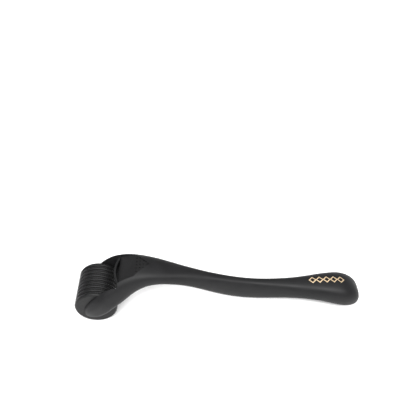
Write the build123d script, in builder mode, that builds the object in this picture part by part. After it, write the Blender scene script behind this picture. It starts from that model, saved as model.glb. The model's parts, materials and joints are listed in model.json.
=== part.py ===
"""Derma roller: a curved two-shell handle whose fork carries a free-turning drum of needle discs.

Frame: +X runs from the drum to the tail, +Y is to the left of that, +Z is up.
The origin is on the ground, below the centre of the roller's overall box.
The roller lies as it is put down: the needle tips and the tail's foot touch Z = 0.
"""
import os
from math import cos, pi, sin

from build123d import *

os.makedirs("parts", exist_ok=True)

# ---------------------------------------------------------------- driving dimensions (mm)
# Distances are measured behind the drum axis, heights above the ground.
LENGTH = 143.0             # needle tips to the end of the tail
FAR = 60.0                 # reaches past the whole object, for cutting

TIP_RADIUS = 10.6          # drum axis to the needle tips
CREST_RADIUS = 10.25       # drum axis to the crest of a rib
GROOVE_RADIUS = 9.3        # drum axis to the bottom of a groove
RIB_SHOULDER = (0.62, 0.12)  # where a rib starts to round over: from the groove's middle, below the crest
RIB_FOOT = (0.38, 0.5)     # where a rib meets the groove, measured the same way
DRUM_LENGTH = 21.0         # over both end caps
RIM_DROP = 0.9             # the rounded rim of an end cap
RIM_RADIUS = 1.2
DISC_COUNT = 9
DISC_PITCH = 2.3
DISC_THICKNESS = 0.25
NEEDLES_PER_DISC = 60
NEEDLE_ROOT_RADIUS = 9.9   # the needles start a little below the crest
NEEDLE_FULLNESS = 0.34     # a needle's root as a share of the step to the next one
CORE_FLATS = 8.0           # hexagonal core, across flats
SOCKET_DEPTH = 0.7         # the core's reach into each end cap
JOURNAL_RADIUS = 1.5
JOURNAL_REACH = 12.7       # half length over the journals
RUNNING_CLEARANCE = 0.05   # radial, journal in arm

ARM_DROP = 0.3             # the arms' middle line passes this far under the drum axis
ARM_SQUARENESS = 3.4
BAY_HALF_WIDTH = 10.8      # inner faces of the fork's arms
BAY_BACK = (15.6, 13.0)    # the back wall of the bay between the arms: its foot
BAY_HOLLOW = (13.6, 20.0)  # and its middle
BORE_REACH = 13.0          # the blind bearing bores end here

WALL = 1.5                 # wall of the hollow handle
SEAM_START = 28.0          # the lower shell starts here
CAVITY_START = 36.0
CAVITY_END = 129.0
POST_DISTANCES = (44.0, 90.0, 118.0)
POST_RADIUS = 2.0
PIN_RADIUS = 1.0
PIN_ROOT = 1.0             # a pin starts this far below the seam
PIN_HEIGHT = 2.2
PIN_CLEARANCE = 0.05

PLATE_FRONT = 12.2         # front edge of the grip plate
PLATE_HALF_WIDTH = 9.0
PLATE_SHOULDER = (20.0, 6.9)
PLATE_POINT = 27.2
PLATE_FRONT_HEIGHT = 26.0
PLATE_CROWN = (19.5, 29.5)
PLATE_REAR = (29.0, 29.65)
PLATE_THICKNESS = 1.2
DIMPLE_PITCH = 2.1         # from side to side
DIMPLE_ROW_PITCH = 1.65
DIMPLE_ROWS = (7, 5, 3, 1)  # dimples in each row, from the front
DIMPLE_START = 21.0        # the first row
DIMPLE_RADIUS = 0.4
DIMPLE_DEPTH = 0.35
PEG_DISTANCE = 16.0
PEG_SIDE = 4.5
PEG_RADIUS = 0.8
PEG_FOOT = 25.0
PEG_LENGTH = 2.6
PEG_SPARE = 0.2            # the peg holes are deeper than the pegs by this

GUARD_BOW = 2.4            # how far the guard bows from the plate towards the drum
GUARD_HALF_WIDTH = 8.8
GUARD_WALL = 1.0
GUARD_TOP = 26.7
GUARD_FOOT = 21.5
GUARD_FLOOR = 23.6
TAB_SIZE = (3.0, 2.5, 1.2)
TAB_DISTANCE = 13.6
TAB_SIDE = 5.0
TAB_HEIGHT = 22.5

EMBLEM_CENTRE = 115.5
LINK_COUNT = 5             # square links, standing on their corners
LINK_PITCH = 3.6
LINK_SIDE = 2.8
LINK_OPENING = 1.9         # side of the square hole in each link
EMBLEM_DEPTH = 0.3

AXLE_X = TIP_RADIUS - LENGTH / 2
AXLE_Z = TIP_RADIUS
TAIL_END = LENGTH - TIP_RADIUS
SECTION_POINTS = 24


def at(distance, height):
    """A point of the side view: distance behind the drum axis, height above the ground."""
    return (AXLE_X + distance, height)


# ---------------------------------------------------------------- the handle's outer form
# Each section is an oval that stands on the line from its underside point to its top point:
# (top, underside, half width, squareness). Squareness 2 is an ellipse, more is boxier.
def arm_section(reach, half_height, half_width):
    """A section square to the arms, which rise at 45 degrees from just under the drum axis."""
    middle = reach / 2**0.5
    lean = half_height / 2**0.5
    height = AXLE_Z - ARM_DROP + middle
    return ((middle - lean, height + lean), (middle + lean, height - lean), half_width, ARM_SQUARENESS)


def upright_section(distance, top, underside, half_width, squareness=2.4):
    """A section square to the ground."""
    return ((distance, top), (distance, underside), half_width, squareness)


SECTIONS = [
    arm_section(-7.0, 1.5, 10.9),
    arm_section(-6.0, 3.4, 11.5),
    arm_section(-4.0, 5.0, 12.5),
    arm_section(-0.5, 6.0, 13.6),
    arm_section(4.5, 6.4, 14.3),
    arm_section(10.0, 6.4, 14.1),
    ((6.0, 25.5), (14.0, 13.6), 13.2, 3.0),
    ((15.0, 30.5), (18.5, 16.0), 10.8, 2.5),
    upright_section(28.0, 30.0, 20.3, 7.7),
    upright_section(36.0, 27.7, 19.3, 6.2),
    upright_section(44.0, 25.3, 16.3, 4.8),
    upright_section(60.0, 20.2, 8.2, 3.5),
    upright_section(75.0, 16.5, 3.7, 3.2),
    upright_section(90.0, 14.8, 3.2, 3.8),
    upright_section(105.0, 14.5, 3.5, 5.5),
    upright_section(118.0, 14.7, 1.6, 7.9),
    upright_section(125.0, 13.6, -0.1, 8.5),
    upright_section(129.0, 11.6, -0.1, 7.8),
    upright_section(TAIL_END - 1.0, 9.5, 0.8, 6.4, 2.5),
    upright_section(TAIL_END, 8.0, 2.0, 5.0, 2.5),
]


def oval_points(half_width, half_height, squareness):
    """Points around a superellipse, evenly spaced in angle."""
    points = []
    for index in range(SECTION_POINTS):
        angle = 2 * pi * (index + 0.5) / SECTION_POINTS
        side, rise = cos(angle), sin(angle)
        spread = (abs(side) ** squareness + abs(rise) ** squareness) ** (-1 / squareness)
        points.append((half_width * spread * side, half_height * spread * rise))
    return points


def skin(inset=0.0, first=-TAIL_END, last=TAIL_END):
    """The handle's form, inset by a wall, through the sections whose undersides lie in the range."""
    with BuildPart() as form:
        for top, underside, half_width, squareness in SECTIONS:
            if first <= underside[0] <= last:
                high = Vector(AXLE_X + top[0], 0, top[1])
                low = Vector(AXLE_X + underside[0], 0, underside[1])
                half_height = (high - low).length / 2 - inset
                facing = Vector(0, 1, 0).cross(high - low)
                with BuildSketch(Plane(origin=(high + low) / 2, x_dir=(0, 1, 0), z_dir=facing)):
                    with BuildLine():
                        Spline(*oval_points(half_width - inset, half_height, squareness), periodic=True)
                    make_face()
        loft()
    return form.part


outer_form = skin()


def side_solid(half_width):
    """Extrude the pending side-view face to both sides."""
    extrude(amount=half_width, both=True)


# The seam runs halfway up the handle, from just behind the head to the tail.
seam_heights = {
    top[0]: (top[1] + underside[1]) / 2
    for top, underside, _, _ in SECTIONS
    if top[0] >= SEAM_START
}
with BuildPart() as below_seam:
    with BuildSketch(Plane.XZ):
        with BuildLine():
            seam = Spline(*[at(*point) for point in seam_heights.items()], at(LENGTH, seam_heights[TAIL_END]))
            Polyline(seam @ 1, at(LENGTH, -FAR), at(SEAM_START, -FAR), seam @ 0)
        make_face()
    side_solid(FAR)

# The bay between the arms: its back is a hollow curve around the drum.
with BuildPart() as drum_bay:
    with BuildSketch(Plane.XZ):
        with BuildLine():
            wall = ThreePointArc(at(*BAY_BACK), at(*BAY_HOLLOW), at(PLATE_FRONT, PLATE_FRONT_HEIGHT))
            far_corners = [at(PLATE_FRONT, FAR), at(-FAR, FAR), at(-FAR, -FAR), at(BAY_BACK[0], -FAR)]
            Polyline(wall @ 1, *far_corners, wall @ 0)
        make_face()
    side_solid(BAY_HALF_WIDTH)

# The grip plate lies in a pocket on top of the head: a pointed outline and an arched side view.
with BuildPart() as plate_outline:
    with BuildSketch(Plane.XY):
        with BuildLine():
            left_side = Polyline(at(PLATE_FRONT, PLATE_HALF_WIDTH), at(*PLATE_SHOULDER), at(PLATE_POINT, 0.0))
            mirror(left_side, about=Plane.XZ)
            Line(at(PLATE_FRONT, -PLATE_HALF_WIDTH), left_side @ 0)
        make_face()
    extrude(amount=FAR)


def arch_line(lowered):
    """The plate's side view from front to rear, lowered from its top face."""
    places = [(PLATE_FRONT, PLATE_FRONT_HEIGHT), PLATE_CROWN, PLATE_REAR]
    return ThreePointArc(*[at(distance, height - lowered) for distance, height in places])


def arch(highest, lowest):
    """An arched slab over the head between two depths below the plate's top face."""
    with BuildPart() as slab:
        with BuildSketch(Plane.XZ):
            with BuildLine():
                high = arch_line(highest)
                low = arch_line(lowest)
                Line(high @ 1, low @ 1)
                Line(low @ 0, high @ 0)
            make_face()
        side_solid(FAR)
    return slab.part


peg_places = [at(PEG_DISTANCE, PEG_SIDE), at(PEG_DISTANCE, -PEG_SIDE)]
tab_places = [(AXLE_X + TAB_DISTANCE, side, TAB_HEIGHT) for side in (TAB_SIDE, -TAB_SIDE)]

# ---------------------------------------------------------------- grip plate
with BuildPart() as dimples:
    for row, count in enumerate(DIMPLE_ROWS):
        with BuildSketch(Plane(origin=(AXLE_X + DIMPLE_START + row * DIMPLE_ROW_PITCH, 0, 0))):
            with GridLocations(1, DIMPLE_PITCH, 1, count):
                Circle(DIMPLE_RADIUS)
        extrude(amount=FAR)
    add(arch(0.0, DIMPLE_DEPTH), mode=Mode.INTERSECT)

with BuildPart() as grip_plate:
    add(arch(0.0, PLATE_THICKNESS))
    add(plate_outline.part, mode=Mode.INTERSECT)
    add(drum_bay.part, mode=Mode.SUBTRACT)
    with BuildSketch(Plane.XY.offset(PEG_FOOT)):
        with Locations(*peg_places):
            Circle(PEG_RADIUS)
    extrude(amount=PEG_LENGTH)
    add(dimples.part, mode=Mode.SUBTRACT)

# ---------------------------------------------------------------- drum guard
def guard_profile(half_width, bow_front):
    """Seen from above: a bowed front between two corners, and a straight back inside the head."""
    bow = ThreePointArc(at(PLATE_FRONT, half_width), at(bow_front, 0.0), at(PLATE_FRONT, -half_width))
    Polyline(bow @ 1, at(BAY_BACK[0], -half_width), at(BAY_BACK[0], half_width), bow @ 0)


with BuildPart() as drum_guard:
    with BuildSketch(Plane.XY.offset(GUARD_FOOT)):
        with BuildLine():
            guard_profile(GUARD_HALF_WIDTH, PLATE_FRONT - GUARD_BOW)
        make_face()
    extrude(amount=GUARD_TOP - GUARD_FOOT)
    with BuildSketch(Plane.XY.offset(GUARD_FLOOR)):
        with BuildLine():
            guard_profile(GUARD_HALF_WIDTH - 2 * GUARD_WALL, PLATE_FRONT - GUARD_BOW + GUARD_WALL)
        make_face()
    extrude(amount=FAR, mode=Mode.SUBTRACT)
    add(drum_bay.part, mode=Mode.INTERSECT)
    with Locations(*tab_places):
        Box(*TAB_SIZE)

# ---------------------------------------------------------------- emblem on the tail
# A plain chain of square links, inlaid along the middle of the tail.
with BuildPart() as emblem_outline:
    with BuildSketch(Plane(origin=(AXLE_X + EMBLEM_CENTRE, 0, 0))):
        with GridLocations(LINK_PITCH, 1, LINK_COUNT, 1):
            Rectangle(LINK_SIDE, LINK_SIDE, rotation=45)
        with GridLocations(LINK_PITCH, 1, LINK_COUNT, 1):
            Rectangle(LINK_OPENING, LINK_OPENING, rotation=45, mode=Mode.SUBTRACT)
    extrude(amount=FAR)
    add(below_seam.part, mode=Mode.SUBTRACT)
    add(skin(EMBLEM_DEPTH, 60.0, TAIL_END), mode=Mode.SUBTRACT)

with BuildPart() as tail_emblem:
    add(emblem_outline.part)
    add(outer_form, mode=Mode.INTERSECT)

# ---------------------------------------------------------------- handle shells
with BuildPart() as cavity:
    add(skin(WALL, CAVITY_START, CAVITY_END))
    for distance in POST_DISTANCES:
        with Locations((AXLE_X + distance, 0, 0)):
            Cylinder(POST_RADIUS, FAR, mode=Mode.SUBTRACT)

with BuildPart() as handle_lower_shell:
    add(outer_form)
    add(below_seam.part, mode=Mode.INTERSECT)
    add(cavity.part, mode=Mode.SUBTRACT)
    with Locations((0, 0, -FAR / 2)):
        Box(2 * LENGTH, FAR, FAR, mode=Mode.SUBTRACT)
    for distance in POST_DISTANCES:
        with BuildSketch(Plane(origin=(AXLE_X + distance, 0, seam_heights[distance] - PIN_ROOT))):
            Circle(PIN_RADIUS)
        extrude(amount=PIN_ROOT + PIN_HEIGHT)

with BuildPart() as handle_upper_shell:
    add(outer_form)
    add(below_seam.part, mode=Mode.SUBTRACT)
    add(drum_bay.part, mode=Mode.SUBTRACT)
    add(cavity.part, mode=Mode.SUBTRACT)
    add(emblem_outline.part, mode=Mode.SUBTRACT)
    # the pocket for the grip plate, open above, and its two peg holes
    add(plate_outline.part & arch(-FAR / 2, PLATE_THICKNESS), mode=Mode.SUBTRACT)
    with BuildSketch(Plane.XY.offset(PEG_FOOT - PEG_SPARE)):
        with Locations(*peg_places):
            Circle(PEG_RADIUS + PIN_CLEARANCE)
    extrude(amount=PEG_SPARE + PEG_LENGTH, mode=Mode.SUBTRACT)
    # slots for the guard's tabs
    with Locations(*tab_places):
        Box(*[size + 2 * PIN_CLEARANCE for size in TAB_SIZE], mode=Mode.SUBTRACT)
    # holes for the lower shell's pins
    for distance in POST_DISTANCES:
        with BuildSketch(Plane(origin=(AXLE_X + distance, 0, seam_heights[distance] - PIN_ROOT))):
            Circle(PIN_RADIUS + PIN_CLEARANCE)
        extrude(amount=PIN_ROOT + PIN_HEIGHT + PIN_CLEARANCE, mode=Mode.SUBTRACT)
    # the two blind bearing bores, cut in one go across the bay
    with BuildSketch(Plane.XZ.offset(-BORE_REACH)):
        with Locations(at(0.0, AXLE_Z)):
            Circle(JOURNAL_RADIUS + RUNNING_CLEARANCE)
    extrude(amount=2 * BORE_REACH, mode=Mode.SUBTRACT)

# ---------------------------------------------------------------- drum
first_disc = -DISC_PITCH * (DISC_COUNT - 1) / 2
cap_inner = DISC_THICKNESS / 2 - first_disc
cap_outer = DRUM_LENGTH / 2
core_half = cap_inner + SOCKET_DEPTH
DRUM_AXIS = Axis((AXLE_X, 0, AXLE_Z), (0, 1, 0))


def drum_plane(y):
    """A plane square to the drum axis, at a distance along +Y."""
    return Plane(origin=(AXLE_X, y, AXLE_Z), x_dir=(1, 0, 0), z_dir=(0, 1, 0))


def hexagon(mode=Mode.ADD):
    """The core's section."""
    RegularPolygon(CORE_FLATS / 2, 6, major_radius=False, mode=mode)


with BuildPart() as drum_core:
    with BuildSketch(drum_plane(-core_half)):
        hexagon()
    extrude(amount=2 * core_half)
    with BuildSketch(drum_plane(-JOURNAL_REACH)):
        Circle(JOURNAL_RADIUS)
    extrude(amount=2 * JOURNAL_REACH)


def needle_disc(y, stagger):
    """A thin steel disc with pointed needles around it and a hexagonal hole."""
    step = 2 * pi / NEEDLES_PER_DISC
    half_root = NEEDLE_FULLNESS * step / 2
    needle = [(-half_root, NEEDLE_ROOT_RADIUS), (0, TIP_RADIUS), (half_root, NEEDLE_ROOT_RADIUS)]
    outline = []
    for index in range(NEEDLES_PER_DISC):
        angle = (index + stagger) * step - pi / 2
        for turn, radius in needle:
            outline.append((radius * cos(angle + turn), radius * sin(angle + turn)))
    with BuildPart() as disc:
        with BuildSketch(drum_plane(y - DISC_THICKNESS / 2)):
            with BuildLine():
                Polyline(*outline, close=True)
            make_face()
            hexagon(Mode.SUBTRACT)
        extrude(amount=DISC_THICKNESS)
    return disc


def spacer_ring(y):
    """A moulded ring between two discs: half a rib, a groove, half a rib."""
    half = (DISC_PITCH - DISC_THICKNESS) / 2
    shoulder, shoulder_drop = RIB_SHOULDER
    foot, foot_drop = RIB_FOOT
    with BuildPart() as ring:
        with BuildSketch(Plane(origin=(AXLE_X, y, AXLE_Z), x_dir=(0, 1, 0), z_dir=(1, 0, 0))):
            with BuildLine():
                rib = ThreePointArc(
                    (half, CREST_RADIUS),
                    (shoulder, CREST_RADIUS - shoulder_drop),
                    (foot, CREST_RADIUS - foot_drop),
                )
                mirror(rib, about=Plane.YZ)
                ThreePointArc(rib @ 1, (0, GROOVE_RADIUS), (-foot, CREST_RADIUS - foot_drop))
                Polyline(rib @ 0, (half, 0), (-half, 0), (-half, CREST_RADIUS))
            make_face()
        revolve(axis=DRUM_AXIS)
        with BuildSketch(drum_plane(y - half)):
            hexagon()
        extrude(amount=2 * half, mode=Mode.SUBTRACT)
    return ring


def end_cap(side):
    """An end cap: half a rib, a flat end with a rounded rim, a hexagonal socket and the journal's hole."""
    with BuildPart() as cap:
        with BuildSketch(Plane(origin=(AXLE_X, 0, AXLE_Z), x_dir=(0, side, 0), z_dir=(side, 0, 0))):
            with BuildLine():
                rim = RadiusArc((cap_inner, CREST_RADIUS), (cap_outer, CREST_RADIUS - RIM_DROP), RIM_RADIUS)
                Polyline(rim @ 1, (cap_outer, 0), (cap_inner, 0), rim @ 0)
            make_face()
        revolve(axis=DRUM_AXIS)
        with BuildSketch(drum_plane(side * cap_inner)):
            hexagon()
        extrude(amount=side * SOCKET_DEPTH, mode=Mode.SUBTRACT)
        with BuildSketch(drum_plane(-DRUM_LENGTH)):
            Circle(JOURNAL_RADIUS)
        extrude(amount=2 * DRUM_LENGTH, mode=Mode.SUBTRACT)
    return cap


pieces = {
    "handle_upper_shell": handle_upper_shell,
    "handle_lower_shell": handle_lower_shell,
    "grip_plate": grip_plate,
    "drum_guard": drum_guard,
    "tail_emblem": tail_emblem,
    "drum_core": drum_core,
    "end_cap_left": end_cap(1),
    "end_cap_right": end_cap(-1),
}
for number in range(DISC_COUNT):
    pieces[f"needle_disc_{number + 1}"] = needle_disc(first_disc + number * DISC_PITCH, number % 2 / 2)
for number in range(DISC_COUNT - 1):
    pieces[f"spacer_ring_{number + 1}"] = spacer_ring(first_disc + (number + 0.5) * DISC_PITCH)

for name, piece in pieces.items():
    piece.part.label = name
    export_step(piece.part, f"parts/{name}.step")
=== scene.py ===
"""Looks for the derma roller: materials, floor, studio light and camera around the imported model."""
import json
import math

import bpy
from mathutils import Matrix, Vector


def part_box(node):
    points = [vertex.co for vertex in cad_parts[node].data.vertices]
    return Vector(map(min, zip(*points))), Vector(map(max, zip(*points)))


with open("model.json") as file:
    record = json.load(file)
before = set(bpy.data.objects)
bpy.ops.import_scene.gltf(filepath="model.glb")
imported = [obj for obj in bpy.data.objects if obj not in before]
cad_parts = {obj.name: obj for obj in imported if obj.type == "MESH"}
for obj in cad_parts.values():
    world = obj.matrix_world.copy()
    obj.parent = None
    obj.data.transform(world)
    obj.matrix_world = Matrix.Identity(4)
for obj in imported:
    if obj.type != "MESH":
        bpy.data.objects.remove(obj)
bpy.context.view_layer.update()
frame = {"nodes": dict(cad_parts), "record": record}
nodes = frame["nodes"]

MM = 0.001

# ---------------------------------------------------------------- colours
HANDLE_BLACK = (0.008, 0.008, 0.0085)
PLATE_BLACK = (0.007, 0.007, 0.0074)
DRUM_BLACK = (0.0085, 0.0085, 0.0088)
NEEDLE_GREY = (0.45, 0.45, 0.46)
GOLD = (0.66, 0.5, 0.31)
FLOOR_WHITE = (0.95, 0.95, 0.95)

# ---------------------------------------------------------------- gloss
PLASTIC_SPECULAR = 0.17
FLOOR_SPECULAR = 0.1
HANDLE_ROUGHNESS = 0.5
PLATE_ROUGHNESS = 0.58
FLOOR_ROUGHNESS = 0.9
STEEL_METALLIC = 1.0
FOIL_METALLIC = 0.4

# ---------------------------------------------------------------- pattern scales, in cells per metre
SHELL_MOTTLE = 140.0      # patches of about 7 mm
SHELL_RUBBING = 70.0      # about 14 mm
SHELL_WAVES = 160.0       # about 6 mm
DUST_SPECKS = 5200.0      # about 0.2 mm
HANDLE_GRAIN = 3200.0     # about 0.3 mm
PLATE_GRAIN = 1900.0      # about 0.5 mm
DRUM_MOTTLE = 300.0
DRUM_GLOSS = 900.0
DRUM_GRAIN = 3500.0
STEEL_MOTTLE = 4000.0
STEEL_GLOSS = 9000.0
FOIL_MOTTLE = 1800.0
FOIL_WEAR = 1200.0
FOIL_GRAIN = 6000.0
FLOOR_MOTTLE = 2.0

# ---------------------------------------------------------------- relief depths, in metres
WAVE_DEPTH = 0.00002
HANDLE_GRAIN_DEPTH = 0.000012
PLATE_GRAIN_DEPTH = 0.00002
FINE_GRAIN_DEPTH = 0.00001

# ---------------------------------------------------------------- places, from the frame
disc_low, disc_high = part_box("needle_disc_5")
AXLE = (disc_low + disc_high) / 2


def from_axle(behind, sideways, high):
    """A point in millimetres: from the drum axis towards the tail, along the axle and above the ground."""
    return Vector((AXLE.x + behind * MM, sideways * MM, high * MM))


# ---------------------------------------------------------------- node helpers
def new_material(name):
    """An empty node material and its principled shader."""
    material = bpy.data.materials.new(name)
    material.use_nodes = True
    tree = material.node_tree
    tree.nodes.clear()
    output = tree.nodes.new("ShaderNodeOutputMaterial")
    shader = tree.nodes.new("ShaderNodeBsdfPrincipled")
    tree.links.new(shader.outputs["BSDF"], output.inputs["Surface"])
    return material, tree, shader


def set_inputs(node, **values):
    """Set unlinked inputs; an underscore in a keyword stands for a space in the input's name."""
    for name, value in values.items():
        node.inputs[name.replace("_", " ")].default_value = value


def noise(tree, scale, detail=2.0, roughness=0.5):
    """Noise in the piece's own coordinates; scale is in cells per metre, so 2500 is a grain of 0.4 mm."""
    place = tree.nodes.new("ShaderNodeTexCoord").outputs["Object"]
    node = tree.nodes.new("ShaderNodeTexNoise")
    set_inputs(node, Scale=scale, Detail=detail, Roughness=roughness)
    tree.links.new(place, node.inputs["Vector"])
    return node.outputs["Fac"]


def ramp(tree, factor, stops):
    """A colour ramp of (place, colour or grey) stops."""
    node = tree.nodes.new("ShaderNodeValToRGB")
    elements = node.color_ramp.elements
    for element, (place, colour) in zip(elements, stops):
        if isinstance(colour, (int, float)):
            colour = (colour, colour, colour)
        element.position = place
        element.color = (*colour, 1.0)
    tree.links.new(factor, node.inputs["Fac"])
    return node.outputs["Color"]


def mottled(tree, shader, socket, pattern, low, high, spread=(0.3, 0.7)):
    """Drive a shader input from low to high over the middle of a noise pattern."""
    tree.links.new(ramp(tree, pattern, [(spread[0], low), (spread[1], high)]), shader.inputs[socket])


def add_dust(tree, shader, colour):
    """Tiny paler specks over the pattern that already colours the shader."""
    socket = shader.inputs["Base Color"]
    under = socket.links[0].from_socket
    specks = ramp(tree, noise(tree, DUST_SPECKS, 1.0), [(0.72, 0.0), (0.8, 1.0)])
    node = tree.nodes.new("ShaderNodeMix")
    node.data_type = "RGBA"
    tree.links.new(specks, node.inputs["Factor"])
    tree.links.new(under, node.inputs["A"])
    node.inputs["B"].default_value = (*colour, 1.0)
    tree.links.new(node.outputs["Result"], socket)


def bump(tree, height, distance, strength, under=None):
    """Relief of a noise height; distance is in metres."""
    node = tree.nodes.new("ShaderNodeBump")
    set_inputs(node, Strength=strength, Distance=distance)
    tree.links.new(height, node.inputs["Height"])
    if under is not None:
        tree.links.new(under, node.inputs["Normal"])
    return node.outputs["Normal"]


def tinted(colour, factor):
    """The same colour, darker or lighter."""
    return [channel * factor for channel in colour]


# ---------------------------------------------------------------- materials
def soft_touch(name, colour, roughness, grain_scale, grain_depth):
    """Soft-touch plastic: a fine pebbled grain, faint mottling, a little dust and rubbed patches."""
    material, tree, shader = new_material(name)
    mottle = noise(tree, SHELL_MOTTLE, 4.0)
    mottled(tree, shader, "Base Color", mottle, tinted(colour, 0.82), tinted(colour, 1.2))
    add_dust(tree, shader, tinted(colour, 3.0))
    rubbing = noise(tree, SHELL_RUBBING, 5.0, 0.6)
    mottled(tree, shader, "Roughness", rubbing, roughness - 0.07, roughness + 0.05, (0.35, 0.65))
    waves = bump(tree, noise(tree, SHELL_WAVES, 2.0), WAVE_DEPTH, 0.25)
    grain = bump(tree, noise(tree, grain_scale, 2.0), grain_depth, 0.45, under=waves)
    tree.links.new(grain, shader.inputs["Normal"])
    set_inputs(shader, Specular_IOR_Level=PLASTIC_SPECULAR)
    return material


def drum_plastic():
    """Satin moulded plastic with a finer grain than the handle's."""
    material, tree, shader = new_material("drum_black")
    mottle = noise(tree, DRUM_MOTTLE, 3.0)
    mottled(tree, shader, "Base Color", mottle, tinted(DRUM_BLACK, 0.8), tinted(DRUM_BLACK, 1.25))
    mottled(tree, shader, "Roughness", noise(tree, DRUM_GLOSS, 3.0), 0.36, 0.48)
    grain = bump(tree, noise(tree, DRUM_GRAIN, 2.0), FINE_GRAIN_DEPTH, 0.4)
    tree.links.new(grain, shader.inputs["Normal"])
    set_inputs(shader, Specular_IOR_Level=PLASTIC_SPECULAR)
    return material


def etched_steel():
    """Etched needle steel: a fine uneven grey."""
    material, tree, shader = new_material("needle_steel")
    mottle = noise(tree, STEEL_MOTTLE, 3.0)
    mottled(tree, shader, "Base Color", mottle, tinted(NEEDLE_GREY, 0.75), tinted(NEEDLE_GREY, 1.2))
    mottled(tree, shader, "Roughness", noise(tree, STEEL_GLOSS), 0.24, 0.42)
    set_inputs(shader, Metallic=STEEL_METALLIC)
    return material


def gold_foil():
    """Satin gold foil, slightly worn and grained."""
    material, tree, shader = new_material("gold_trim")
    mottle = noise(tree, FOIL_MOTTLE, 3.0)
    mottled(tree, shader, "Base Color", mottle, tinted(GOLD, 0.8), tinted(GOLD, 1.1))
    mottled(tree, shader, "Roughness", noise(tree, FOIL_WEAR, 4.0), 0.32, 0.52)
    grain = bump(tree, noise(tree, FOIL_GRAIN, 2.0), FINE_GRAIN_DEPTH, 0.4)
    tree.links.new(grain, shader.inputs["Normal"])
    set_inputs(shader, Metallic=FOIL_METALLIC)
    return material


finishes = {
    "soft_touch_black": soft_touch(
        "handle_black", HANDLE_BLACK, HANDLE_ROUGHNESS, HANDLE_GRAIN, HANDLE_GRAIN_DEPTH),
    "plate_black": soft_touch(
        "plate_black", PLATE_BLACK, PLATE_ROUGHNESS, PLATE_GRAIN, PLATE_GRAIN_DEPTH),
    "drum_black": drum_plastic(),
    "needle_steel": etched_steel(),
    "gold_trim": gold_foil(),
}
for subpart in frame["record"]["subparts"]:
    node = nodes[subpart["node"]]
    node.data.materials.clear()
    node.data.materials.append(finishes[subpart["material_slot"]])

# ---------------------------------------------------------------- floor
FLOOR_HALF = 4.0          # half the side, in metres


def make_floor():
    """A plain white square under the roller."""
    corners = [(-1, -1), (1, -1), (1, 1), (-1, 1)]
    mesh = bpy.data.meshes.new("floor")
    mesh.from_pydata([(x * FLOOR_HALF, y * FLOOR_HALF, 0) for x, y in corners], [], [(0, 1, 2, 3)])
    floor = bpy.data.objects.new("floor", mesh)
    bpy.context.scene.collection.objects.link(floor)
    paint, tree, shader = new_material("floor_paint")
    mottle = noise(tree, FLOOR_MOTTLE)
    mottled(tree, shader, "Base Color", mottle, tinted(FLOOR_WHITE, 0.98), tinted(FLOOR_WHITE, 1.01))
    set_inputs(shader, Roughness=FLOOR_ROUGHNESS, Specular_IOR_Level=FLOOR_SPECULAR)
    mesh.materials.append(paint)


make_floor()

# ---------------------------------------------------------------- light
HORIZON_GLOW = 0.9
SKY_GLOW = 0.32
HORIZON_TOP = 0.1         # upward part of the direction where the glow starts to fall
SKY_START = 0.4           # and where it has fallen to the sky's
FRONT_PLACE = (0.05, -0.42, 0.62)
FRONT_WIDTH = 0.9
FRONT_DEPTH = 0.25
FRONT_POWER = 10.5
SUN_PLACE = (-0.1, 0.15, 0.9)
SUN_ANGLE = 60.0
SUN_POWER = 1.6


def studio_world():
    """A pale backdrop that stays bright near the horizon and is dimmer overhead."""
    world = bpy.data.worlds.new("studio")
    bpy.context.scene.world = world
    world.use_nodes = True
    tree = world.node_tree
    direction = tree.nodes.new("ShaderNodeTexCoord").outputs["Generated"]
    parts = tree.nodes.new("ShaderNodeSeparateXYZ")
    tree.links.new(direction, parts.inputs["Vector"])
    glow = ramp(tree, parts.outputs["Z"], [(HORIZON_TOP, HORIZON_GLOW), (SKY_START, SKY_GLOW)])
    tree.links.new(glow, tree.nodes["Background"].inputs["Color"])


def add_lamp(name, light, place):
    """Put a light at a place in metres, facing the roller."""
    lamp = bpy.data.objects.new(name, light)
    lamp.location = place
    lamp.rotation_euler = (-Vector(place)).to_track_quat("-Z", "Y").to_euler()
    bpy.context.scene.collection.objects.link(lamp)


def broad_sun(name, place, angle, power):
    """A very soft distant light, which keeps the floor evenly pale; angle is its width in degrees."""
    light = bpy.data.lights.new(name, "SUN")
    light.energy = power
    light.angle = math.radians(angle)
    add_lamp(name, light, place)


def softbox(name, place, width, depth, power):
    """A rectangular area light that faces the roller."""
    light = bpy.data.lights.new(name, "AREA")
    light.energy = power
    light.shape = "RECTANGLE"
    light.size = width
    light.size_y = depth
    add_lamp(name, light, place)


studio_world()
softbox("front_softbox", FRONT_PLACE, FRONT_WIDTH, FRONT_DEPTH, FRONT_POWER)
broad_sun("overhead_sun", SUN_PLACE, SUN_ANGLE, SUN_POWER)

# ---------------------------------------------------------------- camera
CAMERA_PLACE = (49.11, -164.36, 214.91)  # see from_axle
CAMERA_PITCH = 42.24                     # degrees below the horizon
CAMERA_YAW = -2.19                       # degrees about +Z: it looks a little towards the tail
CAMERA_LENS = 44.14                      # millimetres
SENSOR_WIDTH = 36.0
CLIP_START = 0.005
CLIP_END = 20.0

camera_data = bpy.data.cameras.new("camera")
camera_data.lens = CAMERA_LENS
camera_data.sensor_width = SENSOR_WIDTH
camera_data.clip_start = CLIP_START
camera_data.clip_end = CLIP_END
camera = bpy.data.objects.new("camera", camera_data)
camera.location = from_axle(*CAMERA_PLACE)
camera.rotation_euler = (math.radians(90.0 - CAMERA_PITCH), 0.0, math.radians(CAMERA_YAW))
bpy.context.scene.collection.objects.link(camera)
bpy.context.scene.camera = camera
bpy.context.scene.view_settings.view_transform = "Standard"
